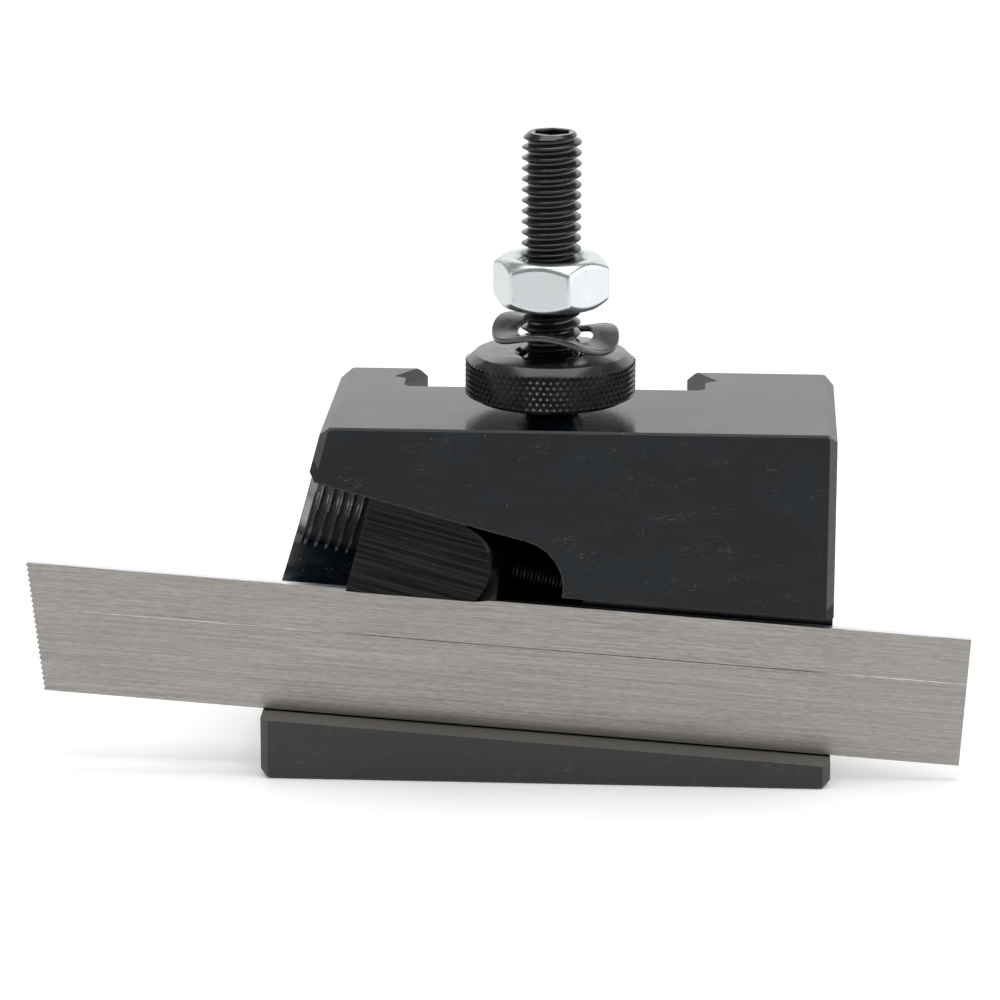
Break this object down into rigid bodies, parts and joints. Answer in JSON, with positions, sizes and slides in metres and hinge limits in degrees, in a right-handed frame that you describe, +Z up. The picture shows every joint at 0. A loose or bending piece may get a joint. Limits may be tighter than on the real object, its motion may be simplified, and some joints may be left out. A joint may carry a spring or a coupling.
{
  "type": "quick change tool post parting blade holder",
  "caption": "Slotted steel tool block with a dovetail back, a sloping parting blade held by a slanted clamp wedge, and a threaded height stud with knurled and hexagon nuts.",
  "frame": {"origin": "centre of the holder body's underside", "axes": "+X along the blade from its cutting end to its plain end, +Y from the open front of the body to the dovetail, +Z up along the height stud"},
  "size_m": [0.0887, 0.0246, 0.0604],
  "materials": {
    "holder_body": "satin black oxide, lightly scratched",
    "parting_blade": "lengthwise brushed bare steel",
    "clamp_wedge": "coarsely ground, blackened",
    "screw_steel": "oiled black oxide",
    "height_nut": "black oxide, diamond knurled rim",
    "spring_washer": "smooth grey spring steel",
    "lock_nut": "bright zinc plate"
  },
  "bodies": {
    "holder": {"holder_body": "holder_body", "height_stud": "screw_steel"},
    "blade": {"parting_blade": "parting_blade"},
    "wedge": {"clamp_wedge": "clamp_wedge"},
    "wedge_screw": {"clamp_screw": "screw_steel"},
    "stack": {"spring_washer": "spring_washer"},
    "knurled_nut": {"height_nut": "height_nut"},
    "hexagon_nut": {"lock_nut": "lock_nut"}
  },
  "joints": [
    {"name": "blade_slide", "type": "slide", "parent": "holder", "child": "blade", "axis": [0.9978, 0, -0.0663], "range_m": [-0.012, 0.02]},
    {"name": "wedge_slide", "type": "slide", "parent": "holder", "child": "wedge", "axis": [-0.9659, 0, 0.2588], "range_m": [0, 0.0055]},
    {"name": "clamp_screw_turn", "type": "hinge", "parent": "wedge", "child": "wedge_screw", "pos_m": [0, -0.0054, 0.01838], "axis": [-0.9659, 0, 0.2588], "range_deg": [0, 2829]},
    {"name": "stack_slide", "type": "slide", "parent": "holder", "child": "stack", "axis": [0, 0, 1], "range_m": [-0.0011, 0.011]},
    {"name": "height_nut_turn", "type": "hinge", "parent": "stack", "child": "knurled_nut", "pos_m": [0, -0.0037, 0.0375], "axis": [0, 0, -1], "range_deg": [-396.1, 3960.1]},
    {"name": "lock_nut_turn", "type": "hinge", "parent": "stack", "child": "hexagon_nut", "pos_m": [0, -0.0037, 0.0464], "axis": [0, 0, -1], "range_deg": [-396.1, 3960.1]}
  ],
  "couplings": [
    {"joint": "clamp_screw_turn", "follows": "wedge_slide", "rad_per_m": 8976},
    {"joint": "height_nut_turn", "follows": "stack_slide", "rad_per_m": 6283.2},
    {"joint": "lock_nut_turn", "follows": "stack_slide", "rad_per_m": 6283.2}
  ]
}
